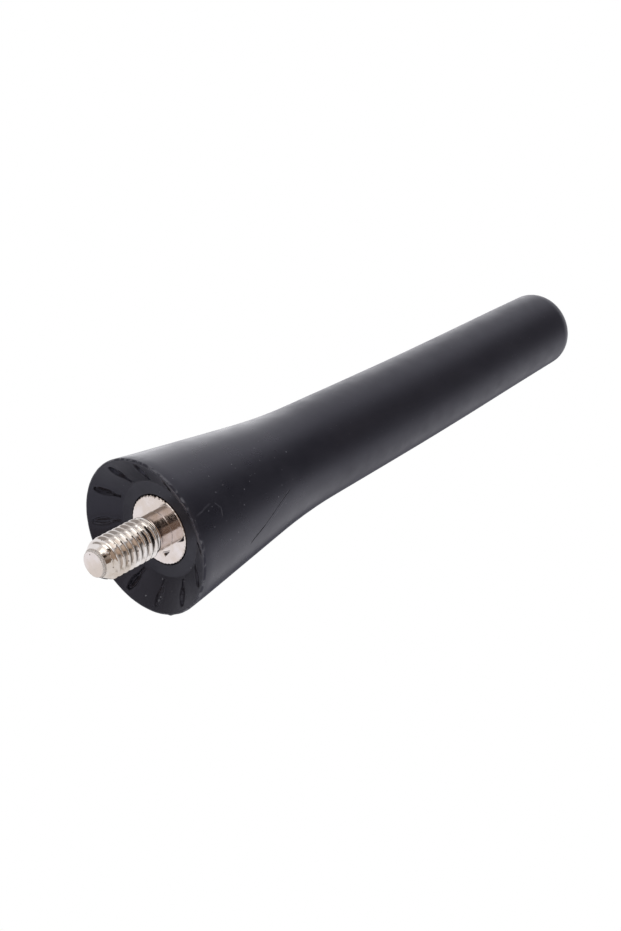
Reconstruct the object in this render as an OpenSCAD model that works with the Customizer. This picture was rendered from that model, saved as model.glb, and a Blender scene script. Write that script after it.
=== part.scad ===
// Short screw-on mast aerial for a car roof. A turned stud screws into the roof base, a wire
// winding on a glass-fibre rod stands in the stud, and a black rubber sheath is moulded over both.
// Z runs up the mast. Z = 0 is the plane of the skirt's rim, which comes down on the roof base.

/* [Sheath] */
// Height from the rim of the skirt to the tip
mast_h = 93.2; // [80:0.1:110]
// Outside diameter at the rim
rim_d = 22.6; // [21:0.1:25]
// Angle by which the skirt's side leans in towards the axis
skirt_lean = 7.9; // [6:0.1:9]
// Angle by which the shaft's side leans in towards the axis
shaft_lean = 1.44; // [0.6:0.01:2]
// Diameter that the shaft's sides run out to in the plane of the tip
tip_d = 11.7; // [10.5:0.1:12.5]
// Radius of the hollow curve that joins skirt and shaft
blend_r = 107; // [40:1:160]
// Radius of the round edge at the tip
tip_edge_r = 3.3; // [1:0.1:4]
// Radius of the domed end inside that edge
crown_r = 13; // [9:0.5:30]
// Radius of the round outer edge of the rim
rim_edge_r = 0.25; // [0.1:0.05:0.5]
// Rubber left between the top of the rod and the tip
tip_cover = 5; // [4:0.1:8]

/* [Dish] */
// Depth from the rim to the face of the stud's flange
dish_h = 2.75; // [2:0.05:4]
// Width of the flat land on the rim
rim_land = 0.1; // [0.05:0.05:0.5]
// Outside diameter of the flat ring of rubber round the flange
ring_d = 14; // [12.5:0.1:14.4]
// Height by which the flange stands proud of that ring
flange_proud = 0.15; // [0.05:0.05:0.4]
// Width of the groove between the flange and the rubber round it
lip_gap = 0.12; // [0.05:0.01:0.3]
// Depth of that groove
lip_depth = 0.5; // [0.2:0.1:1]

/* [Leaf recesses] */
// Number of leaf-shaped recesses in the dish's wall
leaf_n = 12; // [6:1:14]
// Distance from the axis to the blunt end of a leaf's stem
leaf_in = 7.36; // [7.3:0.02:7.8]
// Distance from the axis to the blunt outer end of a leaf's blade
leaf_out = 10.55; // [10.3:0.05:10.7]
// Distance along the wall from the stem's end to the blade's widest place
blade_mid = 2.45; // [2.2:0.05:2.6]
// Width of the blade there
blade_w = 1.3; // [1:0.05:1.6]
// Length between the two points where the blade's curved sides would meet
blade_l = 3.8; // [3.2:0.1:4.2]
// Depth of the blade below the wall
leaf_depth = 0.4; // [0.35:0.05:0.6]
// Angle by which the blade's sides lean outwards
leaf_draft = 35; // [10:1:40]
// Width of the stem at its blunt end
stem_w = 0.5; // [0.3:0.05:0.65]
// Angle from the X axis to the first leaf
leaf_turn = 0.8; // [0:0.1:30]

/* [Stud] */
// Outside diameter of the thread
thread_d = 6; // [5.5:0.1:6.5]
// Length of the thread
thread_l = 7.7; // [6:0.1:12]
// Diameter of the plain shank between thread and flange
shank_d = 5.25; // [4.5:0.05:5.4]
// Length of the plain shank
shank_l = 2.4; // [1:0.1:4]
// Length of the tapered lead-in below the thread
nose_l = 1.5; // [0.5:0.1:2]
// Diameter of the small end of the lead-in
nose_d = 4.1; // [4:0.1:5]
// Diameter of the flat disc that ends the stud
pip_d = 3.8; // [3:0.1:4]
// Height of that disc
pip_h = 0.4; // [0.2:0.1:1]

/* [Flange] */
// Diameter of the flange over its knurled edge
flange_d = 10.1; // [9.5:0.1:11]
// Thickness of the flange
flange_t = 2.4; // [1.5:0.1:3.5]
// Number of teeth in the straight knurl on the flange's edge
knurl_n = 48; // [36:1:60]
// Depth of the knurl
knurl_depth = 0.2; // [0.1:0.05:0.3]

/* [Ferrule] */
// Diameter of the neck that locks the rubber behind the flange
neck_d = 7; // [6.5:0.1:8]
// Length of the neck
neck_l = 1.8; // [1:0.1:3]
// Diameter of the barrel that holds the rod
barrel_d = 9; // [8.5:0.1:10]
// Length of the barrel
barrel_l = 8; // [7.8:0.1:12]
// Number of grooves round the barrel
groove_n = 2; // [1:1:3]
// Width of a groove
groove_w = 1.2; // [0.8:0.1:1.4]
// Depth of a groove
groove_depth = 0.6; // [0.3:0.1:0.9]
// Length of the collar on top of the barrel
collar_l = 3.5; // [3:0.1:6]
// Depth of the rod's socket below the top of the collar
socket_h = 9; // [6:0.1:10]

/* [Rod and winding] */
// Diameter of the glass-fibre rod
rod_d = 4; // [3.5:0.1:4.4]
// Glue gap all round the rod in its socket
glue_gap = 0.01; // [0.01:0.01:0.05]
// Diameter of the enamelled wire
wire_d = 0.6; // [0.4:0.05:0.7]
// Gap between the rod and the wire wound on it
wind_gap = 0.02; // [0.01:0.01:0.05]
// Rise of the winding in one turn
wire_pitch = 1.3; // [1.1:0.05:3]
// Bare rod left above the last turn
rod_bare = 2; // [1:0.1:5]
// Radius of the bend where the wire leaves the collar
bend_r = 0.8; // [0.6:0.1:1.2]
// Length of the straight tail of wire soldered into the collar
tail_l = 2.4; // [1.5:0.1:2.6]
// Clear width beside the wire in the collar's solder slot
slot_gap = 0.15; // [0.05:0.05:0.3]
// Depth of solder below the end of the tail
solder_under = 0.3; // [0.1:0.1:0.4]

/* [Shrink sleeve] */
// Gap between the winding and the sleeve shrunk over it
sleeve_gap = 0.05; // [0.02:0.01:0.1]
// Thickness of the sleeve
sleeve_t = 0.35; // [0.2:0.05:0.5]

/* [Hidden] */
$fn = 96;
// Overshoot of a cutter past the face it opens
cut = 1;
// How far a stem's floor stays above the floor of its blade
stem_rise = 0.03;
// Half widths of a knurl tooth at its crest and its root, as shares of the tooth pitch
crest_share = 0.12;
root_share = 0.3;
// Straight pieces in the sheath's small arcs and in its long one
edge_steps = 10;
blend_steps = 16;
// Straight pieces in one turn of the winding and in the wire's bend, and sides of the wire
turn_steps = 12;
bend_steps = 4;
wire_sides = 6;

// Levels, from the rim up
flange_z = dish_h;
ring_z = flange_z + flange_proud;
neck_z = flange_z + flange_t;
barrel_z = neck_z + neck_l;
collar_z = barrel_z + barrel_l;
collar_top = collar_z + collar_l;
rod_z = collar_top - socket_h;
rod_top = mast_h - tip_cover;
// Levels of the stud, from the flange down
thread_top = flange_z - shank_l;
thread_bottom = thread_top - thread_l;
pip_z = thread_bottom - nose_l;
stud_end = pip_z - pip_h;

// Radii
rim_r = rim_d / 2;
tip_r = tip_d / 2;
thread_r = thread_d / 2;
rod_r = rod_d / 2;
wire_r = wire_d / 2;
coil_r = rod_r + wind_gap + wire_r;
collar_r = coil_r + wire_r + sleeve_gap;
sleeve_r = collar_r + sleeve_t;
dish_r = rim_r - rim_edge_r - rim_land;

// Corner where the straight sides of skirt and shaft would meet
corner_z = (rim_r - tip_r - mast_h * tan(shaft_lean)) / (tan(skirt_lean) - tan(shaft_lean));
corner_r = rim_r - corner_z * tan(skirt_lean);
// Centre of the hollow curve, which touches both sides
blend_len = blend_r * tan((skirt_lean - shaft_lean) / 2);
blend_c = [corner_r, corner_z] + blend_len * [sin(skirt_lean), -cos(skirt_lean)]
    + blend_r * [cos(skirt_lean), sin(skirt_lean)];
// Centre of the crown, and of the round edge that touches both the shaft's side and the crown
crown_z = mast_h - crown_r;
edge_reach = tip_r + crown_r * tan(shaft_lean) - tip_edge_r / cos(shaft_lean);
edge_s = crown_r - tip_edge_r;
edge_off = edge_reach * cos(shaft_lean);
edge_along = sqrt(edge_s * edge_s - edge_off * edge_off);
edge_c = [0, crown_z] + edge_off * [cos(shaft_lean), sin(shaft_lean)]
    + edge_along * [-sin(shaft_lean), cos(shaft_lean)];
edge_turn = atan2(edge_c[1] - crown_z, edge_c[0]);

// Slope of the dish's wall, the level where the leaves begin and their length along the wall
wall_lean = atan2(ring_z, dish_r - ring_d / 2);
leaf_z = (dish_r - leaf_in) * tan(wall_lean);
leaf_len = (leaf_out - leaf_in) / cos(wall_lean);
// Radii of the two arcs that bound a blade's sides and of the one that ends it
blade_arc = (blade_l * blade_l + blade_w * blade_w) / (4 * blade_w);
blade_end = leaf_len - blade_mid;

// Climb of the winding, where its turns start on the unrolled coil, and how many steps they take
climb = atan2(wire_pitch, 2 * PI * coil_r);
coil_from = [bend_r * (1 - sin(climb)), collar_top + bend_r * cos(climb)];
coil_steps = floor((rod_top - rod_bare - wire_r - coil_from[1]) / wire_pitch * turn_steps);

// Points along an arc about a centre, from one angle to another
function arc(c, r, from, to, steps) =
    [for (i = [0:steps])
        let (a = from + (to - from) * i / steps)
        c + r * [cos(a), sin(a)]];

// Half section of the sheath's outside, from the rim's centre out and up to the tip
function sheath_outline() = concat(
    [[0, 0]],
    arc([rim_r - rim_edge_r, rim_edge_r], rim_edge_r, -90, skirt_lean, edge_steps),
    arc(blend_c, blend_r, 180 + skirt_lean, 180 + shaft_lean, blend_steps),
    arc(edge_c, tip_edge_r, shaft_lean, edge_turn, edge_steps),
    arc([0, crown_z], crown_r, edge_turn, 90, edge_steps));

module dish() {
    lip_r = flange_d / 2 + lip_gap;
    lip_z = ring_z + lip_depth;
    rotate_extrude() polygon([[0, -cut], [dish_r, -cut], [dish_r, 0], [ring_d / 2, ring_z],
        [lip_r, ring_z], [lip_r, lip_z], [0, lip_z]]);
}

// A round cutter with leaning sides, as wide as r where it meets the face Z = 0
module leaning_cutter(r) {
    slope = tan(leaf_draft);
    translate([blade_mid, 0, -leaf_depth])
        cylinder(h = leaf_depth + cut, r1 = r - leaf_depth * slope, r2 = r + cut * slope);
}

// A leaf along X from the origin, cut into the face Z = 0 from above. Its blade is what three
// leaning cutters have in common. Its stem is a round groove that widens towards the blade.
module leaf() {
    intersection() {
        translate([0, blade_w / 2 - blade_arc, 0]) leaning_cutter(blade_arc);
        translate([0, blade_arc - blade_w / 2, 0]) leaning_cutter(blade_arc);
        leaning_cutter(blade_end);
    }
    rotate([0, 90, 0]) cylinder(h = blade_mid, r1 = stem_w / 2, r2 = leaf_depth - stem_rise);
}

// A ring of leaves sunk into the wall of the dish
module leaf_recesses() {
    for (i = [0:leaf_n - 1])
        rotate(leaf_turn + 360 / leaf_n * i)
            translate([leaf_in, 0, leaf_z])
                rotate([0, wall_lean, 0])
                    mirror([0, 0, 1])
                        leaf();
}

// Flange whose edge is a straight knurl of flat-topped teeth
module flange() {
    tooth = 360 / knurl_n;
    crest = flange_d / 2;
    root = crest - knurl_depth;
    corners = [[-root_share, root], [-crest_share, crest], [crest_share, crest], [root_share, root]];
    translate([0, 0, flange_z])
        linear_extrude(flange_t)
            polygon([for (i = [0:knurl_n - 1]) for (p = corners)
                let (a = tooth * (i + p[0]))
                p[1] * [cos(a), sin(a)]]);
}

// Everything of the stud above the flange, with no socket yet
module ferrule() {
    groove_pitch = barrel_l / (groove_n + 1);
    difference() {
        rotate_extrude() polygon([[0, neck_z], [neck_d / 2, neck_z], [neck_d / 2, barrel_z],
            [barrel_d / 2, barrel_z], [barrel_d / 2, collar_z], [collar_r, collar_z],
            [collar_r, collar_top], [0, collar_top]]);
        for (i = [1:groove_n])
            translate([0, 0, barrel_z + groove_pitch * i - groove_w / 2])
                difference() {
                    cylinder(h = groove_w, r = barrel_d / 2 + cut);
                    translate([0, 0, -cut]) cylinder(h = groove_w + 2 * cut, r = barrel_d / 2 - groove_depth);
                }
    }
}

// Everything of the stud below the flange: shank, thread at its full diameter, lead-in and disc
module screw() {
    rotate_extrude() polygon([[0, flange_z + flange_t / 2], [0, stud_end], [pip_d / 2, stud_end],
        [pip_d / 2, pip_z], [nose_d / 2, pip_z], [thread_r, thread_bottom], [thread_r, thread_top],
        [shank_d / 2, thread_top], [shank_d / 2, flange_z + flange_t / 2]]);
}

// Slot across the collar's wall for the soldered tail of the wire
module solder_slot(h) {
    width = wire_d + 2 * slot_gap;
    translate([rod_r - cut, -width / 2, collar_top - tail_l - solder_under])
        cube([collar_r - rod_r + 2 * cut, width, h]);
}

module threaded_stud() {
    color([0.84, 0.81, 0.78])
        difference() {
            union() {
                screw();
                flange();
                ferrule();
            }
            translate([0, 0, rod_z]) cylinder(h = socket_h + cut, r = rod_r + glue_gap);
            solder_slot(tail_l + solder_under + cut);
        }
}

module core_rod() {
    color([0.86, 0.84, 0.72])
        translate([0, 0, rod_z])
            cylinder(h = rod_top - rod_z, r = rod_r);
}

// The wire's centre line, unrolled from the coil: distance round it, height, and angle of climb.
// It is a straight tail, a bend from upright to the angle of climb, and the turns.
wire_line = concat(
    [[0, collar_top - tail_l, 90]],
    [for (i = [0:bend_steps])
        let (a = 90 - (90 - climb) * i / bend_steps)
        [bend_r * (1 - sin(a)), collar_top + bend_r * cos(a), a]],
    [for (i = [1:coil_steps])
        let (way = i * wire_pitch / sin(climb) / turn_steps)
        [coil_from[0] + way * cos(climb), coil_from[1] + way * sin(climb), climb]]);

// One ring of the wire's skin, square to the centre line
function wire_ring(p) =
    let (a = p[0] / coil_r * 180 / PI,
        out = [cos(a), sin(a), 0],
        side = [sin(a) * sin(p[2]), -cos(a) * sin(p[2]), cos(p[2])])
    [for (k = [0:wire_sides - 1])
        let (t = 360 * (k + 0.5) / wire_sides)
        coil_r * out + [0, 0, p[1]] + wire_r * (cos(t) * out + sin(t) * side)];

module aerial_winding() {
    rings = len(wire_line);
    skin = [for (p = wire_line) for (q = wire_ring(p)) q];
    sides = [for (i = [0:rings - 2]) for (k = [0:wire_sides - 1])
        let (n = (k + 1) % wire_sides, a = i * wire_sides, b = a + wire_sides)
        [a + k, b + k, b + n, a + n]];
    ends = [[for (k = [0:wire_sides - 1]) k],
        [for (k = [wire_sides - 1:-1:0]) (rings - 1) * wire_sides + k]];
    color([0.62, 0.3, 0.16]) polyhedron(points = skin, faces = concat(sides, ends), convexity = 10);
}

module solder_joint() {
    color([0.7, 0.71, 0.72])
        difference() {
            intersection() {
                solder_slot(tail_l + solder_under);
                cylinder(h = collar_top, r = collar_r);
            }
            cylinder(h = collar_top + cut, r = rod_r + glue_gap);
            translate([coil_r, 0, collar_top - tail_l]) cylinder(h = tail_l + cut, r = wire_r, $fn = 24);
        }
}

module sleeve_tube(r) {
    translate([0, 0, collar_z]) cylinder(h = rod_top - collar_z, r = r);
}

module shrink_sleeve() {
    color([0.16, 0.16, 0.18])
        difference() {
            sleeve_tube(sleeve_r);
            translate([0, 0, collar_z - cut]) cylinder(h = rod_top - collar_z + 2 * cut, r = collar_r);
        }
}

module rubber_sheath() {
    color([0.09, 0.09, 0.1])
        difference() {
            rotate_extrude() polygon(sheath_outline());
            dish();
            leaf_recesses();
            flange();
            ferrule();
            sleeve_tube(sleeve_r);
        }
}

threaded_stud();
core_rod();
aerial_winding();
solder_joint();
shrink_sleeve();
rubber_sheath();
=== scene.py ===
"""Looks of a short screw-on mast aerial: black rubber sheath, nickel-plated stud, studio and camera.

Lengths are millimetres and are turned into metres by MM. Z runs up the mast, and Z = 0 is the rim.
Angles round the mast are radians from the X axis.
"""

import math

import bmesh
import bpy
import numpy as np
from mathutils import Matrix, Vector, noise


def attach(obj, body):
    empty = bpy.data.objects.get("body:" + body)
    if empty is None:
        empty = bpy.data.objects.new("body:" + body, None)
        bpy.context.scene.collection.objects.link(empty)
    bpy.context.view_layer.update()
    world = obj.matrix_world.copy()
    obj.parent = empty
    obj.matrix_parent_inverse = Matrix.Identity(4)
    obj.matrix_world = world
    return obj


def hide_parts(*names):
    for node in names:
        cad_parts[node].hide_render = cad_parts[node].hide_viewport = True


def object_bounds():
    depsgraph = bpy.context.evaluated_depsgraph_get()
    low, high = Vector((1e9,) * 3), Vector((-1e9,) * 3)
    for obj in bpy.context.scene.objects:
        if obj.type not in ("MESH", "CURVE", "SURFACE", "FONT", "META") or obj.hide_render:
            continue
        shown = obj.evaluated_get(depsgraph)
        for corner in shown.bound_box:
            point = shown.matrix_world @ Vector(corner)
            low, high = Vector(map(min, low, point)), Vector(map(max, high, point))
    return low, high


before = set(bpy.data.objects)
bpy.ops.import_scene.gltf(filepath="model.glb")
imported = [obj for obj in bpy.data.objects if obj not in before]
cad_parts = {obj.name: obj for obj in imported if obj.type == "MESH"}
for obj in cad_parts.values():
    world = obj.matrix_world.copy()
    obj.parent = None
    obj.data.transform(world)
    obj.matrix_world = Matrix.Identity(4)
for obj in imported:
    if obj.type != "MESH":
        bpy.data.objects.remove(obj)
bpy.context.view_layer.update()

MM = 0.001
TURN = 2 * math.pi

# Sheath
MAST_H = 93.2
RIM_R = 11.3
SKIRT_LEAN = 7.9
SHAFT_LEAN = 1.44
TIP_R = 5.85
BLEND_R = 107
TIP_EDGE_R = 3.3
CROWN_R = 13
RIM_EDGE_R = 0.25
RIM_LAND = 0.1
DISH_R = RIM_R - RIM_EDGE_R - RIM_LAND
RING_R = 7.0
RING_Z = 2.9
WALL_LEAN = math.atan2(RING_Z, DISH_R - RING_R)
SLEEVE_R = 3.02
SLEEVE_TOP = 88.2
MOULD_GAP = 0.01

# Groove between the flange and the rubber
LIP_R = 5.17
LIP_DEPTH = 0.5

# Leaf recesses
LEAF_N = 12
LEAF_IN = 7.36
LEAF_OUT = 10.55
BLADE_MID = 2.45
BLADE_W = 1.3
BLADE_L = 3.8
LEAF_DEPTH = 0.4
LEAF_DRAFT = math.radians(35)
STEM_W = 0.5
STEM_RISE = 0.03
LEAF_TURN = math.radians(0.8)

# Stud
THREAD_R = 3.0
THREAD_DEPTH = 0.613
PITCH = 1.0
THREAD_BOTTOM = -7.35
NOSE_END_R = 2.05
SHANK_R = 2.625
PIP_R = 1.9
PIP_Z = -8.85
STUD_END = -9.25
FLANGE_R = 5.05
FLANGE_Z = 2.75
NECK_Z = 5.15
NECK_R = 3.5
BARREL_Z = 6.95
BARREL_R = 4.5
GROOVE_W = 1.2
GROOVE_DEPTH = 0.6
GROOVES = [9.617, 12.283]
COLLAR_Z = 14.95
COLLAR_TOP = 18.45
COLLAR_R = 2.67
SOCKET_Z = 9.45
SOCKET_R = 2.01
SLOT_Z = 15.75
SLOT_HALF = 0.45
KNURL_N = 48
KNURL_DEPTH = 0.2
KNURL_WORN = 0.15


def arc(centre, radius, start, end, steps):
    """Points of an arc in the half section, angles in degrees."""
    angles = [math.radians(start + (end - start) * i / steps) for i in range(steps + 1)]
    return [(centre[0] + radius * math.cos(a), centre[1] + radius * math.sin(a)) for a in angles]


def line(start, end, steps):
    """Points from start to end in the half section, without start itself."""
    shares = [(i + 1) / steps for i in range(steps)]
    return [(start[0] + (end[0] - start[0]) * s, start[1] + (end[1] - start[1]) * s) for s in shares]


def wobble(point, scale, seed):
    """Smooth noise from about -1 to 1 at a point in millimetres; scale is in waves per millimetre."""
    return noise.noise(Vector(point) * scale + Vector((seed, 2.3 * seed, 7.1)))


def smooth_step(low, high, x):
    share = min(1.0, max(0.0, (x - low) / (high - low)))
    return share * share * (3 - 2 * share)


def make_object(name, verts, faces, sharp_deg):
    """A smooth-shaded mesh object from points in millimetres, welded where they coincide."""
    mesh = bpy.data.meshes.new(name)
    mesh.from_pydata([(x * MM, y * MM, z * MM) for x, y, z in verts], [], faces)
    weld = 0.0002 * MM
    bm = bmesh.new()
    bm.from_mesh(mesh)
    bmesh.ops.remove_doubles(bm, verts=bm.verts, dist=weld)
    bmesh.ops.dissolve_degenerate(bm, edges=bm.edges, dist=weld)
    bmesh.ops.recalc_face_normals(bm, faces=bm.faces)
    bm.to_mesh(mesh)
    bm.free()
    mesh.shade_smooth()
    mesh.set_sharp_from_angle(angle=math.radians(sharp_deg))
    obj = bpy.data.objects.new(name, mesh)
    bpy.context.scene.collection.objects.link(obj)
    return obj


def add_rings(verts, faces, rings):
    """Adds closed rings of equal length, each joined to the one before it."""
    count = len(rings[0])
    first = len(verts)
    for ring in rings:
        verts.extend(ring)
    for row in range(len(rings) - 1):
        for col in range(count):
            right = (col + 1) % count
            low = first + row * count
            high = low + count
            faces.append((low + col, low + right, high + right, high + col))


def ring_at(angles, radius, z):
    """A ring of points; radius and z are numbers or functions of the angle."""
    radius_at = radius if callable(radius) else lambda a: radius
    z_at = z if callable(z) else lambda a: z
    return [(radius_at(a) * math.cos(a), radius_at(a) * math.sin(a), z_at(a)) for a in angles]


# Knurl: angles of the columns of points, and the radius of the flange's edge at each

TOOTH = TURN / KNURL_N
TOOTH_COLUMNS = [-0.3, -0.12, 0.0, 0.12, 0.3, 0.5]
TOOTH_CRESTS = [0, 1, 1, 1, 0, 0]
# Where wear has left more of the teeth than elsewhere: angle, width and share of the depth
KNURL_LEFT = [(math.radians(20), math.radians(45), 0.45), (math.radians(165), math.radians(30), 0.2)]


def knurl_kept(angle):
    """Share of the teeth's depth that wear has left at an angle."""
    kept = KNURL_WORN
    for middle, width, share in KNURL_LEFT:
        off = (angle - middle + math.pi) % TURN - math.pi
        kept += share * math.exp(-(off / width) ** 2)
    return kept


def knurl_edge():
    """(angle, radius) round the flange, with teeth that vary and are worn."""
    edge = []
    for i in range(KNURL_N):
        middle = TOOTH * i
        spot = (FLANGE_R * math.cos(middle), FLANGE_R * math.sin(middle), 0)
        depth = KNURL_DEPTH * knurl_kept(middle) * max(0.1, 1.0 + 1.3 * wobble(spot, 1.4, 3.0))
        slip = TOOTH * 0.16 * wobble(spot, 1.3, 12.0)
        for share, crest in zip(TOOTH_COLUMNS, TOOTH_CRESTS):
            chip = max(0.0, wobble(spot, 1.7, 9.0 + share)) * 0.25
            edge.append((middle + slip + TOOTH * share, FLANGE_R - (chip * KNURL_DEPTH if crest else depth)))
    return edge


KNURL = knurl_edge()
STUD_ANGLES = [a for a, r in KNURL]
KNURL_ANGLES = np.array([a for a, r in KNURL] + [KNURL[0][0] + TURN])
KNURL_RADII = np.array([r for a, r in KNURL] + [KNURL[0][1]])


def knurl_radius(angle):
    """Radius of the flange's edge at any angle."""
    low = KNURL_ANGLES[0]
    return float(np.interp((angle - low) % TURN + low, KNURL_ANGLES, KNURL_RADII))


# Sheath

def sheath_outline():
    """Half section of the sheath's outside, from the outer end of the rim's land to the tip."""
    skirt = math.radians(SKIRT_LEAN)
    shaft = math.radians(SHAFT_LEAN)
    corner_z = (RIM_R - TIP_R - MAST_H * math.tan(shaft)) / (math.tan(skirt) - math.tan(shaft))
    corner_r = RIM_R - corner_z * math.tan(skirt)
    reach = BLEND_R * math.tan((skirt - shaft) / 2)
    blend_c = (corner_r + reach * math.sin(skirt) + BLEND_R * math.cos(skirt),
               corner_z - reach * math.cos(skirt) + BLEND_R * math.sin(skirt))
    crown_z = MAST_H - CROWN_R
    off = TIP_R * math.cos(shaft) + CROWN_R * math.sin(shaft) - TIP_EDGE_R
    along = math.sqrt((CROWN_R - TIP_EDGE_R) ** 2 - off * off)
    edge_c = (off * math.cos(shaft) - along * math.sin(shaft),
              crown_z + off * math.sin(shaft) + along * math.cos(shaft))
    edge_turn = math.degrees(math.atan2(edge_c[1] - crown_z, edge_c[0]))
    rim = arc((RIM_R - RIM_EDGE_R, RIM_EDGE_R), RIM_EDGE_R, -90, SKIRT_LEAN, 8)
    blend = arc(blend_c, BLEND_R, 180 + SKIRT_LEAN, 180 + SHAFT_LEAN, 16)
    edge = arc(edge_c, TIP_EDGE_R, SHAFT_LEAN, edge_turn, 12)
    crown = arc((0, crown_z), CROWN_R, edge_turn, 90, 8)
    return (rim + line(rim[-1], blend[0], 12) + blend[1:] + line(blend[-1], edge[0], 24)
            + edge[1:] + crown[1:])


class Leaf:
    """A leaf sunk into the dish's wall. u runs out along the wall from its blunt end, v across it."""
    length = (LEAF_OUT - LEAF_IN) / math.cos(WALL_LEAN)
    arc_r = (BLADE_L ** 2 + BLADE_W ** 2) / (4 * BLADE_W)
    end_r = length - BLADE_MID

    @classmethod
    def stem_radius(cls, u):
        if not 0 <= u <= BLADE_MID:
            return 0.0
        return STEM_W / 2 + (LEAF_DEPTH - STEM_RISE - STEM_W / 2) * u / BLADE_MID

    @classmethod
    def half_width(cls, u):
        off = (u - BLADE_MID) ** 2
        side = math.sqrt(max(0.0, cls.arc_r ** 2 - off)) - cls.arc_r + BLADE_W / 2
        end = math.sqrt(max(0.0, cls.end_r ** 2 - off))
        return max(0.0, min(side, end), cls.stem_radius(u))

    @classmethod
    def depth(cls, u, v):
        stem = math.sqrt(max(0.0, cls.stem_radius(u) ** 2 - v * v))
        side = cls.arc_r - math.hypot(u - BLADE_MID, abs(v) + cls.arc_r - BLADE_W / 2)
        end = cls.end_r - math.hypot(u - BLADE_MID, v)
        blade = min(LEAF_DEPTH, min(side, end) / math.tan(LEAF_DRAFT))
        along = smooth_step(0.9, 2.0, u) * (1 - smooth_step(cls.length - 0.9, cls.length - 0.2, u))
        rib = RIB_HIGH * along * math.exp(-(v / RIB_HALF) ** 2)
        return max(0.0, stem - rib, blade - rib)


# How deep each leaf is left by the mould, from the first leaf on
LEAF_SHARES = [1.0, 0.9, 0.9, 0.8, 0.85, 0.75, 0.95, 0.45, 1.0, 0.9, 0.6, 1.0]
# Columns of points in one leaf's sector: across the leaf from -1 to 1, then to the next leaf
LEAF_COLUMNS = [math.sin(math.pi / 2 * t) for t in np.linspace(-1, 1, 25)]
GAP_COLUMNS = [0.0, 0.07, 0.18, 0.34, 0.5, 0.66, 0.82, 0.93, 1.0]
PER_LEAF = len(LEAF_COLUMNS) + len(GAP_COLUMNS)
PLAIN_HALF = math.radians(5)
POINT_HALF = math.radians(0.3)
# A leaf's edge stands up a little, as wide and as high as this
EDGE_W = 0.07
EDGE_RISE = 0.03
# A faint rib runs along each leaf's middle
RIB_HIGH = 0.15
RIB_HALF = 0.13


def sector_angles(half, edge):
    """Angles of all columns round the sheath when each leaf spans half, and its edge past that."""
    angles = []
    gap = TURN / LEAF_N - 2 * (half + edge)
    for i in range(LEAF_N):
        middle = LEAF_TURN + TURN / LEAF_N * i
        angles += [middle + half * t for t in LEAF_COLUMNS]
        angles += [middle + half + edge + gap * share for share in GAP_COLUMNS]
    return angles


def wall_ring(r, sunk=True):
    """A ring of the dish's wall at radius r, sunk where it crosses a leaf."""
    u = (r - LEAF_IN) / math.cos(WALL_LEAN)
    width = Leaf.half_width(u) if LEAF_IN <= r <= LEAF_OUT else 0.0
    clear = min(abs(r - LEAF_IN), abs(r - LEAF_OUT)) if width == 0.0 else 0.0
    narrow = STEM_W / 2 / r if r < LEAF_IN + 0.5 else POINT_HALF
    half = max(width / r, narrow + (PLAIN_HALF - narrow) * smooth_step(0, 0.6, clear))
    surface_z = (DISH_R - r) * math.tan(WALL_LEAN)
    ring = []
    for i, a in enumerate(sector_angles(half, EDGE_W / r)):
        place = i % PER_LEAF
        depth = 0.0
        if width > 0.0 and place < len(LEAF_COLUMNS):
            if sunk:
                depth = Leaf.depth(u, LEAF_COLUMNS[place] * width) * LEAF_SHARES[i // PER_LEAF]
            if place in (0, len(LEAF_COLUMNS) - 1):
                depth -= EDGE_RISE / 2
        elif width > 0.0 and place in (len(LEAF_COLUMNS), PER_LEAF - 1):
            depth = -EDGE_RISE
        spot = (r * math.cos(a), r * math.sin(a), surface_z)
        depth += 0.015 * wobble(spot, 0.5, 15.0)
        out = r + depth * math.sin(WALL_LEAN)
        ring.append((out * math.cos(a), out * math.sin(a), surface_z + depth * math.cos(WALL_LEAN)))
    return ring


def wall_rings():
    """Rings of the wall from the flat ring outwards, close together at the ends of the leaves."""
    rings = [wall_ring(r) for r in (RING_R + 0.09, RING_R + 0.18, RING_R + 0.27)]
    rings += [wall_ring(LEAF_IN - 0.03), wall_ring(LEAF_IN, sunk=False)]
    rings += [wall_ring(r) for r in np.linspace(LEAF_IN + 0.03, LEAF_OUT - 0.3, 36)]
    rings += [wall_ring(LEAF_OUT - 0.3 * (1 - i / 10) ** 2) for i in range(1, 11)]
    rings += [wall_ring(r) for r in np.linspace(LEAF_OUT, DISH_R, 6)[1:]]
    return rings


# A nib left on the rim by the mould: its angle, and its height and half width
NIB = math.radians(195.5)
NIB_SIZE = 0.16


def rim_flaw(r, z, angle):
    """How far the moulded rim's edge stands off its true place: a ragged edge and one small nib."""
    near = 1 - smooth_step(0.0, 0.7, math.hypot(max(0.0, RIM_R - 0.3 - r), z))
    spot = (RIM_R * math.cos(angle), RIM_R * math.sin(angle), z)
    ragged = min(0.0, 0.035 * wobble(spot, 0.8, 4.0) + 0.02 * wobble(spot, 2.6, 8.0) - 0.005)
    nib = NIB_SIZE * math.exp(-((angle - NIB) * RIM_R / NIB_SIZE) ** 2)
    return near * (ragged + nib)


def bow(z):
    """How far the moulded sheath bends off its axis, towards the side away from X."""
    return 0.05 + 0.12 * math.exp(-((z - 54) / 17) ** 2) - 0.2 * smooth_step(62, 95, z)


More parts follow.
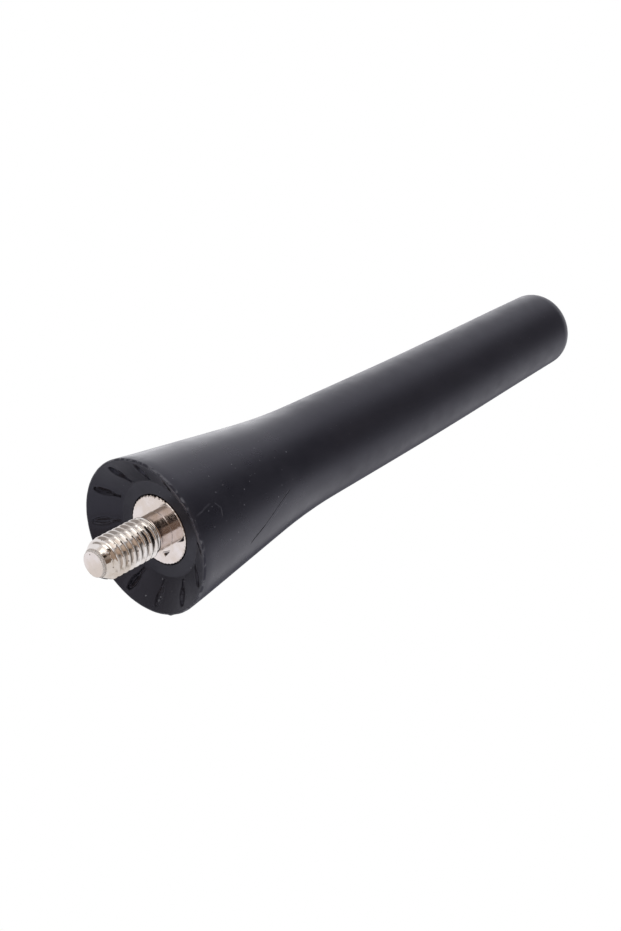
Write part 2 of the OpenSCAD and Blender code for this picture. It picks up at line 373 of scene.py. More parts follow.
def make_sheath():
    plain = sector_angles(PLAIN_HALF, EDGE_W / RIM_R)
    verts = []
    faces = []
    inside = ([(0, SLEEVE_TOP), (SLEEVE_R, SLEEVE_TOP), (SLEEVE_R, COLLAR_Z), (BARREL_R, COLLAR_Z)])
    for middle in reversed(GROOVES):
        high = middle + GROOVE_W / 2
        low = middle - GROOVE_W / 2
        bottom = BARREL_R - GROOVE_DEPTH
        inside += [(BARREL_R, high), (bottom, high), (bottom, low), (BARREL_R, low)]
    inside += [(BARREL_R, BARREL_Z), (NECK_R, BARREL_Z), (NECK_R, NECK_Z)]
    rings = [ring_at(plain, r, z) for r, z in inside]

    def mould_edge(a):
        return knurl_radius(a) + MOULD_GAP

    lip_z = RING_Z + LIP_DEPTH
    rings += [ring_at(plain, mould_edge, NECK_Z), ring_at(plain, mould_edge, lip_z)]
    lip = [(LIP_R, lip_z), (LIP_R, RING_Z + 0.04), (LIP_R + 0.02, RING_Z + 0.01), (LIP_R + 0.06, RING_Z)]
    ledge = [(r, RING_Z) for r in (5.4, 5.8, 6.2, 6.6, 6.85)]
    ledge += [(6.95, RING_Z - 0.005), (RING_R + 0.04, RING_Z - 0.035)]
    rings += [ring_at(plain, r, z) for r, z in lip + ledge]
    rings += wall_rings()
    for r, z in sheath_outline():
        ring = []
        for a in plain:
            spot = (r * math.cos(a), r * math.sin(a), z)
            out = r + rim_flaw(r, z, a) + 0.012 * wobble(spot, 0.11, 1.0) * min(1.0, r / 3)
            ring.append((out * math.cos(a) - bow(z) * smooth_step(0, 4, z), out * math.sin(a), z))
        rings.append(ring)
    add_rings(verts, faces, rings)
    return make_object("sheath_skin", verts, faces, 38)


# Stud

# Thread: height and angle of one point of a crest, the crest's flat, the flanks' lean, how far the
# corners are rounded, the seam along the crest, the run-out into the shank and the nose's bulge
CREST_Z = -0.45
CREST_ANGLE = math.radians(90)
CREST_FLAT = PITCH / 8
FLANK_LEAN = math.radians(30)
CREST_BLUR = 0.03
ROOT_BLUR = 0.05
SEAM = 0.035
RUN_OUT_LOW = -0.1
RUN_OUT_HIGH = 0.75
NOSE_BULGE = 0.03
# Heights between which the skin follows the thread
THREAD_LOW = -8.83
THREAD_HIGH = 0.8
# Where the rows of points lie across one turn of the thread, as shares of the pitch
THREAD_PHASES = [0, 0.045, 0.075, 0.11, 0.2, 0.31, 0.38, 0.43, 0.5, 0.57, 0.62, 0.69, 0.8, 0.89, 0.925, 0.955]


def soft_ramp(x, blur):
    """x where it is above 0 and 0 below, with the corner rounded."""
    return (x + math.sqrt(x * x + blur * blur)) / 2


def thread_radius(z, angle):
    """Radius of the screw at a height and angle: thread, its run-out into the shank and the nose."""
    crest = CREST_Z + PITCH * (angle - CREST_ANGLE) / TURN
    phase = ((z - crest) / PITCH) % 1.0
    off = min(phase, 1 - phase) * PITCH
    drop = soft_ramp(off - CREST_FLAT / 2, CREST_BLUR) / math.tan(FLANK_LEAN)
    drop = THREAD_DEPTH - soft_ramp(THREAD_DEPTH - drop, ROOT_BLUR)
    spot = (3 * math.cos(angle), 3 * math.sin(angle), z)
    crest_r = THREAD_R - 0.012 + 0.014 * wobble(spot, 0.9, 5.0) - 0.03 * max(0.0, wobble(spot, 2.4, 6.0))
    seam = SEAM * math.exp(-(off / SEAM) ** 2)
    shape = crest_r - drop - seam
    fade = 1 - smooth_step(RUN_OUT_LOW, RUN_OUT_HIGH, z)
    radius = SHANK_R + (shape - SHANK_R) * fade
    share = (THREAD_BOTTOM - z) / (THREAD_BOTTOM - PIP_Z)
    bulge = NOSE_BULGE * math.sin(math.pi * min(1.0, max(0.0, share)))
    return min(radius, THREAD_R + (NOSE_END_R - THREAD_R) * share + bulge)


def add_thread(verts, faces):
    """The screw's skin between THREAD_LOW and THREAD_HIGH, in rows that climb with the thread."""
    count = len(STUD_ANGLES)
    turns = range(math.floor(THREAD_LOW - CREST_Z) - 2, math.ceil(THREAD_HIGH - CREST_Z) + 3)
    offsets = [turn + phase for turn in turns for phase in THREAD_PHASES]
    first = len(verts)
    for offset in offsets:
        for a in STUD_ANGLES:
            crest = CREST_Z + PITCH * (a - CREST_ANGLE) / TURN
            z = min(THREAD_HIGH, max(THREAD_LOW, crest + PITCH * offset))
            r = thread_radius(z, a)
            verts.append((r * math.cos(a), r * math.sin(a), z))
    per_turn = len(THREAD_PHASES)
    for row in range(len(offsets) - 1):
        for col in range(count):
            last = col == count - 1
            skip = per_turn if last else 0
            if row + 1 + skip >= len(offsets):
                continue
            low = first + row * count
            right = first + (row + skip) * count + (col + 1) % count
            faces.append((low + col, right, right + count, low + count + col))


# Nick in the flange's face: its blunt end, its length along Y and its half width at the blunt end
NICK = (-3.32, -1.42)
NICK_L = 1.4
NICK_HALF = 0.27
NICK_DEPTH = 0.16
BURR = 0.03


def face_flaw(x, y):
    """Height of the flange's face at a point: faint waves, and a three-cornered nick with a burr."""
    flaw = 0.004 * wobble((x, y, 0), 0.8, 2.0)
    along = (y - NICK[1]) / NICK_L
    half = NICK_HALF * (1 - min(1.0, max(0.0, along)))
    aside = abs(x - NICK[0]) - half
    past = max(aside, -along * NICK_L, (along - 1) * NICK_L)
    pit = NICK_DEPTH * (1 - smooth_step(-0.12, 0.02, past))
    burr = BURR * math.exp(-((past - 0.08) / 0.06) ** 2)
    return flaw + pit - burr


def make_stud():
    angles = STUD_ANGLES
    verts = []
    faces = []
    foot = [(0, STUD_END)] + line((0, STUD_END), (PIP_R - 0.1, STUD_END), 12)
    foot += arc((PIP_R - 0.1, STUD_END + 0.1), 0.1, -90, 0, 5)
    foot += [(PIP_R, PIP_Z - 0.06), (PIP_R - 0.03, PIP_Z - 0.02), (PIP_R + 0.02, PIP_Z + 0.01)]
    foot += [(PIP_R + 0.1, PIP_Z)]
    rings = []
    for r, z in foot:
        uneven = 0.008 if r < PIP_R - 0.15 else 0.0
        rings.append([(r * math.cos(a), r * math.sin(a),
                       z + uneven * (1 + wobble((r * math.cos(a), r * math.sin(a), 0), 0.9, 1.5)))
                      for a in angles])
    rings.append(ring_at(angles, lambda a: thread_radius(THREAD_LOW, a), THREAD_LOW))
    add_rings(verts, faces, rings)
    add_thread(verts, faces)

    rings = [ring_at(angles, lambda a: thread_radius(THREAD_HIGH, a), THREAD_HIGH)]
    for z in (1.0, 1.5, 2.1, 2.6, 2.71):
        rings.append(ring_at(angles, SHANK_R, z))
    rings.append(ring_at(angles, SHANK_R + 0.012, 2.74))
    face_r = SHANK_R + 0.04
    steps = 34
    for i in range(steps + 1):
        share = i / steps

        def radius(a):
            return face_r + (knurl_radius(a) - 0.13 - face_r) * share

        def height(a):
            flaw = face_flaw(radius(a) * math.cos(a), radius(a) * math.sin(a))
            return FLANGE_Z + flaw * smooth_step(0, 0.08, share) * smooth_step(0, 0.08, 1 - share)

        rings.append(ring_at(angles, radius, height))
    rings.append(ring_at(angles, lambda a: knurl_radius(a) - 0.02, FLANGE_Z + 0.07))
    for z in (FLANGE_Z + 0.1, NECK_Z - 0.001):
        rings.append(ring_at(angles, knurl_radius, z))
    tail = [(NECK_R, NECK_Z), (NECK_R, BARREL_Z), (BARREL_R, BARREL_Z)]
    for middle in GROOVES:
        low = middle - GROOVE_W / 2
        high = middle + GROOVE_W / 2
        bottom = BARREL_R - GROOVE_DEPTH
        tail += [(BARREL_R, low), (bottom, low), (bottom, high), (BARREL_R, high)]
    tail += [(BARREL_R, COLLAR_Z), (COLLAR_R, COLLAR_Z), (COLLAR_R, SLOT_Z)]
    rings += [ring_at(angles, r, z) for r, z in tail]

    def collar_top(a):
        in_slot = math.cos(a) > 0 and abs(COLLAR_R * math.sin(a)) < SLOT_HALF
        return SLOT_Z if in_slot else COLLAR_TOP

    rings += [ring_at(angles, COLLAR_R, collar_top), ring_at(angles, SOCKET_R, collar_top)]
    rings += [ring_at(angles, SOCKET_R, SLOT_Z), ring_at(angles, SOCKET_R, SOCKET_Z)]
    rings.append(ring_at(angles, 0, SOCKET_Z))
    add_rings(verts, faces, rings)
    return make_object("stud_turning", verts, faces, 40)


# Materials

class Nodes:
    """Short ways to add nodes to one material."""

    def __init__(self, name):
        self.material = bpy.data.materials.new(name)
        self.material.use_nodes = True
        self.tree = self.material.node_tree
        self.shader = self.tree.nodes["Principled BSDF"]
        self.place = self.add("ShaderNodeTexCoord").outputs["Object"]

    def add(self, kind, **settings):
        node = self.tree.nodes.new(kind)
        for key, value in settings.items():
            setattr(node, key, value)
        return node

    def link(self, source, target):
        if hasattr(source, "is_output"):
            self.tree.links.new(source, target)
        else:
            target.default_value = source

    def math(self, operation, a, b=0.0, c=0.0, clamp=False):
        node = self.add("ShaderNodeMath", operation=operation, use_clamp=clamp)
        for value, socket in zip((a, b, c), node.inputs):
            self.link(value, socket)
        return node.outputs[0]

    def vector(self, operation, a, b=(0.0, 0.0, 0.0), result="Vector"):
        node = self.add("ShaderNodeVectorMath", operation=operation)
        self.link(a, node.inputs[0])
        if operation != "LENGTH":
            self.link(b, node.inputs[1])
        return node.outputs[result]

    def noise(self, scale, detail=2.0, place=None, roughness=0.5):
        """Noise from 0 to 1; scale is in waves per millimetre."""
        node = self.add("ShaderNodeTexNoise")
        self.link(place or self.place, node.inputs["Vector"])
        node.inputs["Scale"].default_value = scale / MM
        node.inputs["Detail"].default_value = detail
        node.inputs["Roughness"].default_value = roughness
        return node.outputs["Fac"]

    def stretched(self, sx, sy, sz):
        return self.vector("MULTIPLY", self.place, (sx, sy, sz))

    def remap(self, value, low, high, to_low=0.0, to_high=1.0, smooth=True):
        node = self.add("ShaderNodeMapRange")
        node.interpolation_type = "SMOOTHSTEP" if smooth else "LINEAR"
        self.link(value, node.inputs["Value"])
        for key, number in (("From Min", low), ("From Max", high), ("To Min", to_low), ("To Max", to_high)):
            node.inputs[key].default_value = number
        return node.outputs["Result"]

    def mix(self, factor, a, b):
        """Colour a where factor is 0 and b where it is 1."""
        node = self.add("ShaderNodeMix", data_type="RGBA")
        self.link(factor, node.inputs[0])
        for value, socket in ((a, node.inputs[6]), (b, node.inputs[7])):
            self.link(value if hasattr(value, "is_output") else (*value, 1.0), socket)
        return node.outputs[2]

    def bump(self, height, distance, strength=1.0, normal=None):
        """Bump whose height of 1 stands for a distance in millimetres."""
        node = self.add("ShaderNodeBump")
        node.inputs["Strength"].default_value = strength
        node.inputs["Distance"].default_value = distance * MM
        self.link(height, node.inputs["Height"])
        if normal:
            self.link(normal, node.inputs["Normal"])
        return node.outputs["Normal"]

    def scratch(self, start, end, width, waver=0.0):
        """Mask, 1 along a line between two points on the surface, all in millimetres; waver bends it."""
        a = Vector(start) * MM
        b = Vector(end) * MM
        along = (b - a).normalized()
        middle = (a + b) / 2
        outward = Vector((middle.x, middle.y, 0)).normalized()
        across = along.cross(outward).normalized()
        from_start = self.vector("SUBTRACT", self.place, tuple(a))
        travel = self.vector("DOT_PRODUCT", from_start, tuple(along), "Value")
        aside = self.vector("DOT_PRODUCT", from_start, tuple(across), "Value")
        if waver:
            drift = self.math("SUBTRACT", self.noise(0.35, 1.0), 0.5)
            aside = self.math("MULTIPLY_ADD", drift, waver * MM, aside)
        level = self.vector("DOT_PRODUCT", self.vector("SUBTRACT", self.place, tuple(middle)),
                            tuple(outward), "Value")
        line_mask = self.remap(self.math("ABSOLUTE", aside), 0.4 * width * MM, width * MM, 1.0, 0.0)
        length = (b - a).length
        ends = self.math("MULTIPLY", self.remap(travel, -0.1 * length, 0.15 * length),
                         self.remap(travel, 0.85 * length, 1.1 * length, 1.0, 0.0))
        this_side = self.math("GREATER_THAN", level, -2 * MM)
        return self.product(line_mask, ends, this_side)

    def spot(self, centre, size):
        """Mask, 1 inside a small ball about a point, in millimetres."""
        away = self.vector("LENGTH", self.vector("SUBTRACT", self.place, tuple(Vector(centre) * MM)),
                           result="Value")
        return self.remap(away, 0.6 * size * MM, size * MM, 1.0, 0.0)

    def specks(self, scale, inner, outer, share):
        """Mask of small scattered dots; scale is in cells per millimetre and sizes are shares of a cell."""
        cells = self.add("ShaderNodeTexVoronoi")
        self.link(self.place, cells.inputs["Vector"])
        cells.inputs["Scale"].default_value = scale / MM
        pick = self.add("ShaderNodeSeparateColor")
        self.link(cells.outputs["Color"], pick.inputs[0])
        near = self.remap(cells.outputs["Distance"], inner, outer, 1.0, 0.0)
        return self.math("MULTIPLY", near, self.remap(pick.outputs["Red"], share - 0.04, share + 0.04))

    def radius(self):
        return self.vector("LENGTH", self.stretched(1, 1, 0), result="Value")

    def axis(self, name):
        node = self.add("ShaderNodeSeparateXYZ")
        self.link(self.place, node.inputs[0])
        return node.outputs[name]

    def height(self):
        return self.axis("Z")

    def side(self):
        return self.axis("X")

    def set(self, **values):
        """Sets the shader's sockets: numbers and colours straight on the socket, nodes by a link."""
        for key, value in values.items():
            self.link(value, self.shader.inputs[key.replace("_", " ")])
        return self.material

    def chain(self, operation, masks):
        """The masks joined one after another by the same operation."""
        total = masks[0]
        for mask in masks[1:]:
            total = self.math(operation, total, mask)
        return total

    def either(self, *masks):
        return self.chain("MAXIMUM", masks)

    def product(self, *masks):
        return self.chain("MULTIPLY", masks)


# Light spots in the dish, partly specks of dirt and partly painted glints, painted highlights in the leaves:
# middle and radius
DISH_DIRT_AND_GLINTS = [((-6.11, -4.18, 2.6), 0.16), ((-7.02, -6.91, 0.8), 0.16), ((-7.72, 0.19, 2.35), 0.13),
              ((-6.54, 2.17, 2.9), 0.10), ((-7.7, 6.38, 0.7), 0.14), ((-8.55, -4.94, 0.8), 0.14),
              ((-8.45, -5.06, 1.02), 0.20), ((-8.15, -4.72, 1.34), 0.14), ((-9.44, 0.91, 1.20), 0.13),
              ((-8.80, 0.68, 1.69), 0.11), ((-8.11, 5.03, 1.16), 0.14), ((-10.07, 0.74, 0.75), 0.12)]
# Fainter light specks on the skirt
SKIRT_SPOTS = [((1.22, 8.10, 22.37), 0.12), ((-3.69, 8.10, 17.28), 0.11), ((-2.45, 9.59, 10.04), 0.11),
               ((-0.95, 10.81, 3.22), 0.10), ((-0.62, 9.72, 11.21), 0.11), ((-5.26, 8.79, 7.60), 0.12),
               ((-4.96, 7.15, 18.70), 0.11), ((0.77, 10.42, 6.10), 0.10)]


def rubber_material():
    n = Nodes("rubber")
    cloud = n.noise(0.12, 3.0)
    grain = n.noise(7.0, 2.0)
    dust = n.product(n.specks(1.6, 0.07, 0.15, 0.9),
                     n.remap(n.height(), 14 * MM, 26 * MM, 1.0, 0.3))
    # Painted highlight: light spots in the dish, some specks of dirt and some painted glints in the leaves
    dirt_and_glints = n.either(*[n.spot(middle, size) for middle, size in DISH_DIRT_AND_GLINTS])
    faint = n.either(dust, *[n.spot(middle, size) for middle, size in SKIRT_SPOTS])
    specks = n.math("MAXIMUM", n.math("MULTIPLY", faint, 0.5), n.math("MULTIPLY", dirt_and_glints, 0.85))
    long_scratch = n.either(n.scratch((-7.39, 6.52, 10.4), (-6.17, 7.11, 13.6), 0.16, 0.3),
                            n.scratch((-6.37, 7.04, 13.0), (-3.64, 7.76, 19.6), 0.09, 0.5))
    bright_edge = n.scratch((-6.58, 6.66, 14.0), (-4.36, 7.50, 18.9), 0.07, 0.5)
    scuffs = n.either(
        n.scratch((-0.79, 11.15, 0.9), (-0.3, 10.77, 4.0), 0.16, 0.5),
        n.scratch((-0.3, 10.6, 4.9), (-1.3, 10.42, 5.7), 0.13, 0.6),
        n.scratch((-1.3, 10.42, 5.7), (-2.4, 10.3, 5.2), 0.12, 0.6),
        n.math("MULTIPLY", bright_edge, 0.8))
    base = n.mix(cloud, (0.0060, 0.0056, 0.0082), (0.0100, 0.0094, 0.0130))
    base = n.mix(n.math("MULTIPLY", scuffs, 0.16), base, (0.10, 0.10, 0.11))
    # Light specks lighten the colour: dust and dirt, and the painted glints in the dish
    base = n.mix(specks, base, (0.19, 0.19, 0.205))
    base = n.mix(long_scratch, base, (0.002, 0.002, 0.0025))
    worn = n.product(n.remap(n.radius(), (RIM_R - 0.35) * MM, (RIM_R - 0.1) * MM),
                     n.remap(n.height(), 0.0, 0.4 * MM, 1.0, 0.0),
                     n.remap(n.noise(1.3, 3.0), 0.48, 0.6))
    base = n.mix(n.math("MULTIPLY", worn, 0.6), base, (0.15, 0.15, 0.16))
    rough = n.remap(n.noise(0.4, 4.0), 0.3, 0.7, 0.37, 0.46, smooth=False)
    # How far a point lies above the cone of the dish's wall: a little in the leaves, more outside
    slope = math.tan(WALL_LEAN)
    sunk = n.math("MULTIPLY_ADD", n.radius(), slope,
                  n.math("SUBTRACT", n.height(), DISH_R * slope * MM))
    in_leaf = n.product(n.remap(sunk, 0.03 * MM, 0.09 * MM), n.remap(n.radius(), 7.1 * MM, 7.3 * MM),
                        n.remap(n.radius(), 10.6 * MM, 10.8 * MM, 1.0, 0.0),
                        n.remap(sunk, 0.5 * MM, 0.6 * MM, 1.0, 0.0))
    on_skirt = n.product(n.remap(sunk, 0.6 * MM, 2.0 * MM),
                         n.remap(n.height(), 22 * MM, 36 * MM, 1.0, 0.0))
    rough = n.math("MULTIPLY_ADD", n.either(in_leaf, on_skirt), -0.11, rough)
    height = n.math("MULTIPLY_ADD", specks, 2.5, n.math("MULTIPLY", grain, 0.35))
    height = n.math("SUBTRACT", height, n.math("MULTIPLY", long_scratch, 5.0))
    height = n.math("ADD", height, scuffs)
    height = n.math("MULTIPLY_ADD", n.product(in_leaf, n.noise(1.6, 2.0)), 8.0, height)
    shine = n.math("MULTIPLY_ADD", long_scratch, -0.4, 0.5)
    return n.set(Base_Color=base, Roughness=rough, IOR=1.5, Specular_Tint=(0.80, 0.79, 1.0, 1.0),
                 Specular_IOR_Level=shine,
                 Sheen_Weight=0.06, Sheen_Roughness=0.4, Sheen_Tint=(0.7, 0.7, 1.0, 1.0),
                 Normal=n.bump(height, 0.012))


# A small dark spot on the stud's end
DISC_SPOT = (1.353, 0.334, STUD_END)
# Painted shade in the nick: dark spots, as share of its length and radius
NICK_SHADE_SPOTS = [(0.15, 0.25), (0.32, 0.2), (0.5, 0.14)]
# Dark spots on the screw: middle and radius
NICKEL_SPOTS = [((-1.80, 2.15, -5.60), 0.17), ((-1.70, 2.10, -5.35), 0.15), ((-1.52, 1.94, -8.05), 0.17),
                ((-1.45, 2.30, -4.25), 0.24), ((2.32, 1.82, -7.55), 0.14), ((0.20, 2.40, -7.95), 0.16)]


def nickel_material():
    n = Nodes("bright_nickel")
    patch = n.noise(0.5, 4.0)
    clouded = n.remap(patch, 0.35, 0.65)
    fine = n.noise(4.0, 3.0)
    rings = n.noise(9.0, 1.0, place=n.stretched(0.02, 0.02, 1.0))
    base = n.mix(clouded, (0.69, 0.61, 0.56), (0.765, 0.705, 0.69))
    # The screw is painted a little brighter than the shank and the flange, though it is the same plating:
    # painted light
    in_thread = n.remap(n.height(), 0.2 * MM, 0.9 * MM, 1.0, 0.0)
    base = n.mix(n.product(in_thread, n.remap(n.radius(), 1.98 * MM, 2.1 * MM)), base,
                 n.mix(clouded, (0.72, 0.67, 0.635), (0.80, 0.77, 0.75)))
    # Brown towards the screw's end, on the side towards -X, then painted shade in the thread's roots
    brown_low_side = n.product(n.remap(n.height(), -5.5 * MM, -3.5 * MM, 1.0, 0.0),
                        n.remap(n.side(), -0.9 * MM, 0.3 * MM, 1.0, 0.0),
                        n.remap(patch, 0.35, 0.65, 0.25, 0.9))
    base = n.mix(brown_low_side, base, (0.56, 0.49, 0.42))
    # Painted shade: the thread's roots are darkened near black, where shade falls between the turns
    root = n.product(n.remap(n.radius(), 2.45 * MM, 2.68 * MM, 1.0, 0.0), in_thread,
                     n.remap(n.height(), -6.8 * MM, -4.2 * MM, 0.3, 1.0),
                     n.remap(n.height(), -7.4 * MM, -7.2 * MM),
                     n.remap(n.side(), -0.7 * MM, -0.1 * MM, 1.0, 0.4),
                     n.remap(patch, 0.3, 0.7, 0.75, 1.0))
    base = n.mix(root, base, (0.06, 0.05, 0.042))
    base = n.mix(n.spot(DISC_SPOT, 0.13), base, (0.2, 0.15, 0.12))
    # Painted shade: dark spots inside the nick
    for share, size in NICK_SHADE_SPOTS:
        middle = (NICK[0], NICK[1] + NICK_L * share, FLANGE_Z + 0.1)
        base = n.mix(n.spot(middle, size), base, (0.05, 0.042, 0.038))
    for middle, size in NICKEL_SPOTS:
        base = n.mix(n.math("MULTIPLY", n.spot(middle, size), 0.8), base, (0.10, 0.075, 0.06))
    # The flange's face is smoother and cleaner than the rest, and the shank is duller
    polished = n.product(n.remap(n.radius(), 2.66 * MM, 2.72 * MM), n.remap(n.height(), 2.6 * MM, 2.7 * MM))
    specks = n.product(n.specks(1.3, 0.035, 0.09, 0.70), n.remap(polished, 0, 1, 0.6, 0.25, smooth=False))
    base = n.mix(specks, base, (0.16, 0.12, 0.10))
    rough = n.product(n.remap(fine, 0.3, 0.7, 0.04, 0.11, smooth=False),
                      n.remap(polished, 0, 1, 1.0, 0.35, smooth=False),
                      n.remap(in_thread, 0, 1, 2.4, 1.0, smooth=False))
    # The edge of the stud's end is worn dull, and is painted near white with little metal so that it shows
    # lit: painted light
    dull_foot_edge_painted_light = n.product(n.remap(n.radius(), 1.78 * MM, 1.86 * MM),
                          n.remap(n.height(), -8.84 * MM, -8.78 * MM, 1.0, 0.0))
    rough = n.math("MULTIPLY_ADD", dull_foot_edge_painted_light, 0.5, rough)
    # Painted light: the edge is painted near white
    base = n.mix(n.math("MULTIPLY", dull_foot_edge_painted_light, 0.8), base, (0.95, 0.90, 0.86))
    metal = n.math("MULTIPLY_ADD", dull_foot_edge_painted_light, -0.8, 1.0)
    height = n.math("MULTIPLY_ADD", rings, 0.5, n.math("MULTIPLY", fine, 0.6))
    height = n.math("MULTIPLY", height, n.remap(polished, 0, 1, 1.0, 0.35, smooth=False))
    return n.set(Base_Color=base, Metallic=metal, Roughness=rough, Normal=n.bump(height, 0.004))


def glass_fibre_material():
    n = Nodes("glass_fibre_rod")
    strands = n.noise(2.5, 3.0, place=n.stretched(1.0, 1.0, 0.02))
    base = n.mix(strands, (0.62, 0.60, 0.46), (0.82, 0.80, 0.68))
    return n.set(Base_Color=base, Roughness=0.42, Subsurface_Weight=0.15,
                 Normal=n.bump(strands, 0.03))


def enamel_material():
    n = Nodes("enamelled_copper")
    tone = n.noise(0.25, 3.0)
    base = n.mix(tone, (0.36, 0.11, 0.045), (0.60, 0.23, 0.10))
    rough = n.remap(n.noise(3.0, 2.0), 0.3, 0.7, 0.20, 0.32, smooth=False)
    return n.set(Base_Color=base, Metallic=1.0, Roughness=rough, Coat_Weight=0.8,
                 Coat_Roughness=0.08, Normal=n.bump(n.noise(1.2, 2.0), 0.01))


def solder_material():
    n = Nodes("dull_solder")
    frost = n.noise(1.8, 4.0)
    base = n.mix(frost, (0.42, 0.43, 0.44), (0.66, 0.66, 0.65))
    rough = n.remap(frost, 0.3, 0.7, 0.30, 0.50, smooth=False)
    return n.set(Base_Color=base, Metallic=1.0, Roughness=rough, Normal=n.bump(frost, 0.04))


def shrink_tube_material():
    n = Nodes("shrink_tube")
    creases = n.noise(0.9, 3.0, place=n.stretched(1.0, 1.0, 0.15))
    base = n.mix(creases, (0.018, 0.018, 0.020), (0.034, 0.034, 0.037))
    rough = n.remap(creases, 0.3, 0.7, 0.50, 0.62, smooth=False)
    return n.set(Base_Color=base, Roughness=rough, Normal=n.bump(creases, 0.05))


def dress(obj, material):
    obj.data.materials.clear()
    obj.data.materials.append(material)


# Studio

# The photo's camera: its axes and place in the mast's frame, and its focal length in pixels
VIEW_RIGHT = Vector((-0.47296, 0.58734, 0.65676))
VIEW_DOWN = Vector((-0.88108, -0.31528, -0.35255))
VIEW_AHEAD = Vector((0.0, -0.74540, 0.66661))
VIEW_PLACE = Vector((-2.02, 215.03, -159.90)) * MM
FOCAL_PX = 2000
FRAME_PX = 931
SENSOR = 36


def add_camera():
    camera = bpy.data.cameras.new("photo_camera")
    camera.sensor_width = SENSOR
    camera.lens = FOCAL_PX / FRAME_PX * SENSOR
    camera.clip_start = 0.01
    camera.clip_end = 20
    obj = bpy.data.objects.new("photo_camera", camera)
    axes = Matrix((VIEW_RIGHT, -VIEW_DOWN, -VIEW_AHEAD)).transposed().to_4x4()
    obj.matrix_world = Matrix.Translation(VIEW_PLACE) @ axes
    bpy.context.scene.collection.objects.link(obj)
    bpy.context.scene.camera = obj


def add_lamp(name, towards, distance, size, power, mirrored):
    """A square soft box, in metres and watts, that shines on the mast's middle from a direction."""
    lamp = bpy.data.lights.new(name, "AREA")
    lamp.size = size
    lamp.energy = power
    obj = bpy.data.objects.new(name, lamp)
    middle = Vector((0, 0, MAST_H / 2 * MM))
    obj.location = middle + Vector(towards).normalized() * distance
    obj.rotation_euler = (middle - obj.location).to_track_quat("-Z", "Y").to_euler()
    obj.visible_camera = False
    obj.visible_glossy = mirrored
    bpy.context.scene.collection.objects.link(obj)


# What the mast mirrors: near white, with these patches laid over it in this order. Each has a
# direction, the angles in degrees from it where the patch starts to fade and is gone, and a colour.
ROOM_WHITE = (0.985, 0.98, 1.0)
ROOM_PATCHES = [
    # Towards the mast's tip: seen in the rubber and in the thread's crests
    ((-0.10, 0.74, 0.667), 8, 48, (0.035, 0.034, 0.045)),
    ((-0.05, 0.97, 0.22), 12, 24, (0.75, 0.61, 0.50)),
    ((0.69, 0.68, 0.20), 10, 24, (1.6, 1.56, 1.5)),
    ((-0.35, -0.68, 0.64), 6, 20, (0.06, 0.06, 0.07)),
    ((-0.19, -0.93, 0.30), 8, 20, (0.03, 0.03, 0.035)),
    # Towards the stud's end: seen in that end and the flange, in the shank by way of the flange,
    # in the thread's flanks and in the nose
    ((0.72, 0.19, -0.667), 16, 30, (0.80, 0.75, 0.71)),
    ((0.56, -0.50, -0.66), 12, 28, (0.36, 0.33, 0.315)),
    ((0.22, -0.71, -0.667), 4, 9, (0.12, 0.11, 0.105)),
    ((-0.50, -0.55, -0.667), 4, 13, (0.42, 0.39, 0.37)),
    ((0.0, 0.50, -0.866), 31, 37, (0.42, 0.32, 0.25)),
    ((-0.29, 0.686, -0.667), 17, 20, (0.20, 0.145, 0.11)),
    ((-0.06, 0.92, -0.39), 5, 17, (0.36, 0.31, 0.27)),
    ((0.38, 0.06, -0.92), 10, 15, (1.6, 1.58, 1.54)),
    ((0.20, 0.17, -0.965), 3, 6, (0.02, 0.015, 0.012)),
    ((0.66, 0.64, -0.36), 10, 20, (1.7, 1.63, 1.5)),
    ((0.545, 0.508, -0.667), 5, 12, (0.10, 0.07, 0.055)),
    ((0.406, 0.625, -0.667), 9, 13, (0.02, 0.015, 0.012)),
    ((0.15, 0.73, -0.667), 9, 13, (0.02, 0.015, 0.012))]


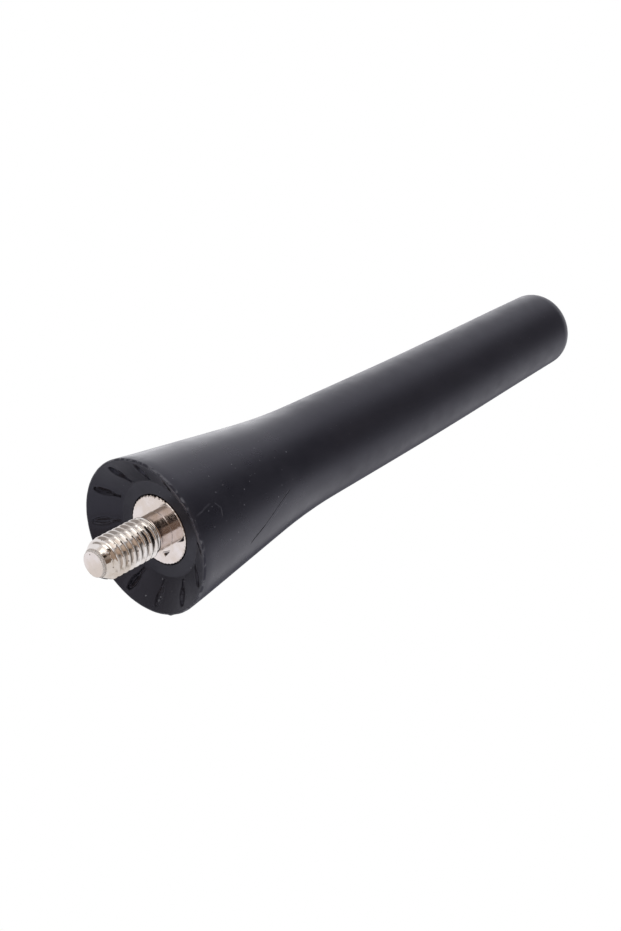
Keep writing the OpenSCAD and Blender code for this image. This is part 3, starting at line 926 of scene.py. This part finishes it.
def add_world():
    """Plain white for the camera, soft even light for the rubber, and the room's patches in reflections."""
    world = bpy.data.worlds.new("studio")
    world.use_nodes = True
    bpy.context.scene.world = world
    tree = world.node_tree
    tree.nodes.clear()

    def add(kind, **settings):
        node = tree.nodes.new(kind)
        for key, value in settings.items():
            setattr(node, key, value)
        return node

    direction = add("ShaderNodeTexCoord").outputs["Generated"]

    def near(towards, inner_deg, outer_deg):
        """1 near a direction and 0 away from it."""
        dot = add("ShaderNodeVectorMath", operation="DOT_PRODUCT")
        tree.links.new(direction, dot.inputs[0])
        dot.inputs[1].default_value = Vector(towards).normalized()
        ramp = add("ShaderNodeMapRange", interpolation_type="SMOOTHSTEP")
        tree.links.new(dot.outputs["Value"], ramp.inputs["Value"])
        ramp.inputs["From Min"].default_value = math.cos(math.radians(outer_deg))
        ramp.inputs["From Max"].default_value = math.cos(math.radians(inner_deg))
        return ramp.outputs["Result"]

    def tint(mask, colour, patch):
        """The colour where the mask is 0 and the patch's where it is 1."""
        node = add("ShaderNodeMix", data_type="RGBA")
        tree.links.new(mask, node.inputs[0])
        for entry, socket in ((colour, node.inputs[6]), (patch, node.inputs[7])):
            if hasattr(entry, "is_output"):
                tree.links.new(entry, socket)
            else:
                socket.default_value = (*entry, 1.0)
        return node.outputs[2]

    mirrored = ROOM_WHITE
    for towards, inner, outer, colour in ROOM_PATCHES:
        mirrored = tint(near(towards, inner, outer), mirrored, colour)
    rays = add("ShaderNodeLightPath").outputs
    reflected = add("ShaderNodeMath", operation="MAXIMUM")
    tree.links.new(rays["Is Glossy Ray"], reflected.inputs[0])
    tree.links.new(rays["Is Transmission Ray"], reflected.inputs[1])
    lit = add("ShaderNodeBackground")
    lit.inputs["Color"].default_value = (0.98, 0.98, 1.0, 1.0)
    lit.inputs["Strength"].default_value = 0.62
    room = add("ShaderNodeBackground")
    tree.links.new(mirrored, room.inputs["Color"])
    white = add("ShaderNodeBackground")
    white.inputs["Color"].default_value = (1, 1, 1, 1)
    first = add("ShaderNodeMixShader")
    tree.links.new(reflected.outputs[0], first.inputs[0])
    tree.links.new(lit.outputs[0], first.inputs[1])
    tree.links.new(room.outputs[0], first.inputs[2])
    second = add("ShaderNodeMixShader")
    tree.links.new(rays["Is Camera Ray"], second.inputs[0])
    tree.links.new(first.outputs[0], second.inputs[1])
    tree.links.new(white.outputs[0], second.inputs[2])
    tree.links.new(second.outputs[0], add("ShaderNodeOutputWorld").inputs[0])


# Radius of the floor in metres
FLOOR_R = 1.2


def add_floor():
    """A pale round floor under the stud's end, open to a view from below it."""
    steps = 96
    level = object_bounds()[0][2]
    mesh = bpy.data.meshes.new("floor")
    rim = [(FLOOR_R * math.cos(TURN * i / steps), FLOOR_R * math.sin(TURN * i / steps), level)
           for i in range(steps)]
    mesh.from_pydata(rim, [], [tuple(range(steps))])
    obj = bpy.data.objects.new("floor", mesh)
    bpy.context.scene.collection.objects.link(obj)
    n = Nodes("pale_floor")
    tone = n.mix(n.noise(0.02, 2.0), (0.86, 0.86, 0.855), (0.90, 0.90, 0.895))
    n.set(Base_Color=tone, Roughness=0.8, Specular_IOR_Level=0.2)
    clear = n.add("ShaderNodeBsdfTransparent")
    under = n.add("ShaderNodeNewGeometry").outputs["Backfacing"]
    fade = n.remap(n.radius(), 0.35 * FLOOR_R, 0.95 * FLOOR_R)
    open_share = n.math("MAXIMUM", under, fade)
    blend = n.add("ShaderNodeMixShader")
    n.link(open_share, blend.inputs[0])
    n.tree.links.new(n.shader.outputs[0], blend.inputs[1])
    n.tree.links.new(clear.outputs[0], blend.inputs[2])
    n.tree.links.new(blend.outputs[0], n.tree.nodes["Material Output"].inputs[0])
    dress(obj, n.material)
    obj.visible_glossy = False


sheath = make_sheath()
dress(sheath, rubber_material())
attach(sheath, "root")
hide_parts("rubber_sheath")

stud = make_stud()
dress(stud, nickel_material())
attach(stud, "root")
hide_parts("threaded_stud")

dress(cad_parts["core_rod"], glass_fibre_material())
dress(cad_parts["aerial_winding"], enamel_material())
dress(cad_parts["solder_joint"], solder_material())
dress(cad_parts["shrink_sleeve"], shrink_tube_material())

add_camera()
add_world()
add_lamp("key", (0.45, -0.52, 0.74), 0.9, 0.55, 0.8, True)
add_lamp("top", (0.1, 0.3, 1.0), 0.9, 0.7, 6.0, False)
add_floor()
bpy.context.scene.view_settings.view_transform = "Standard"
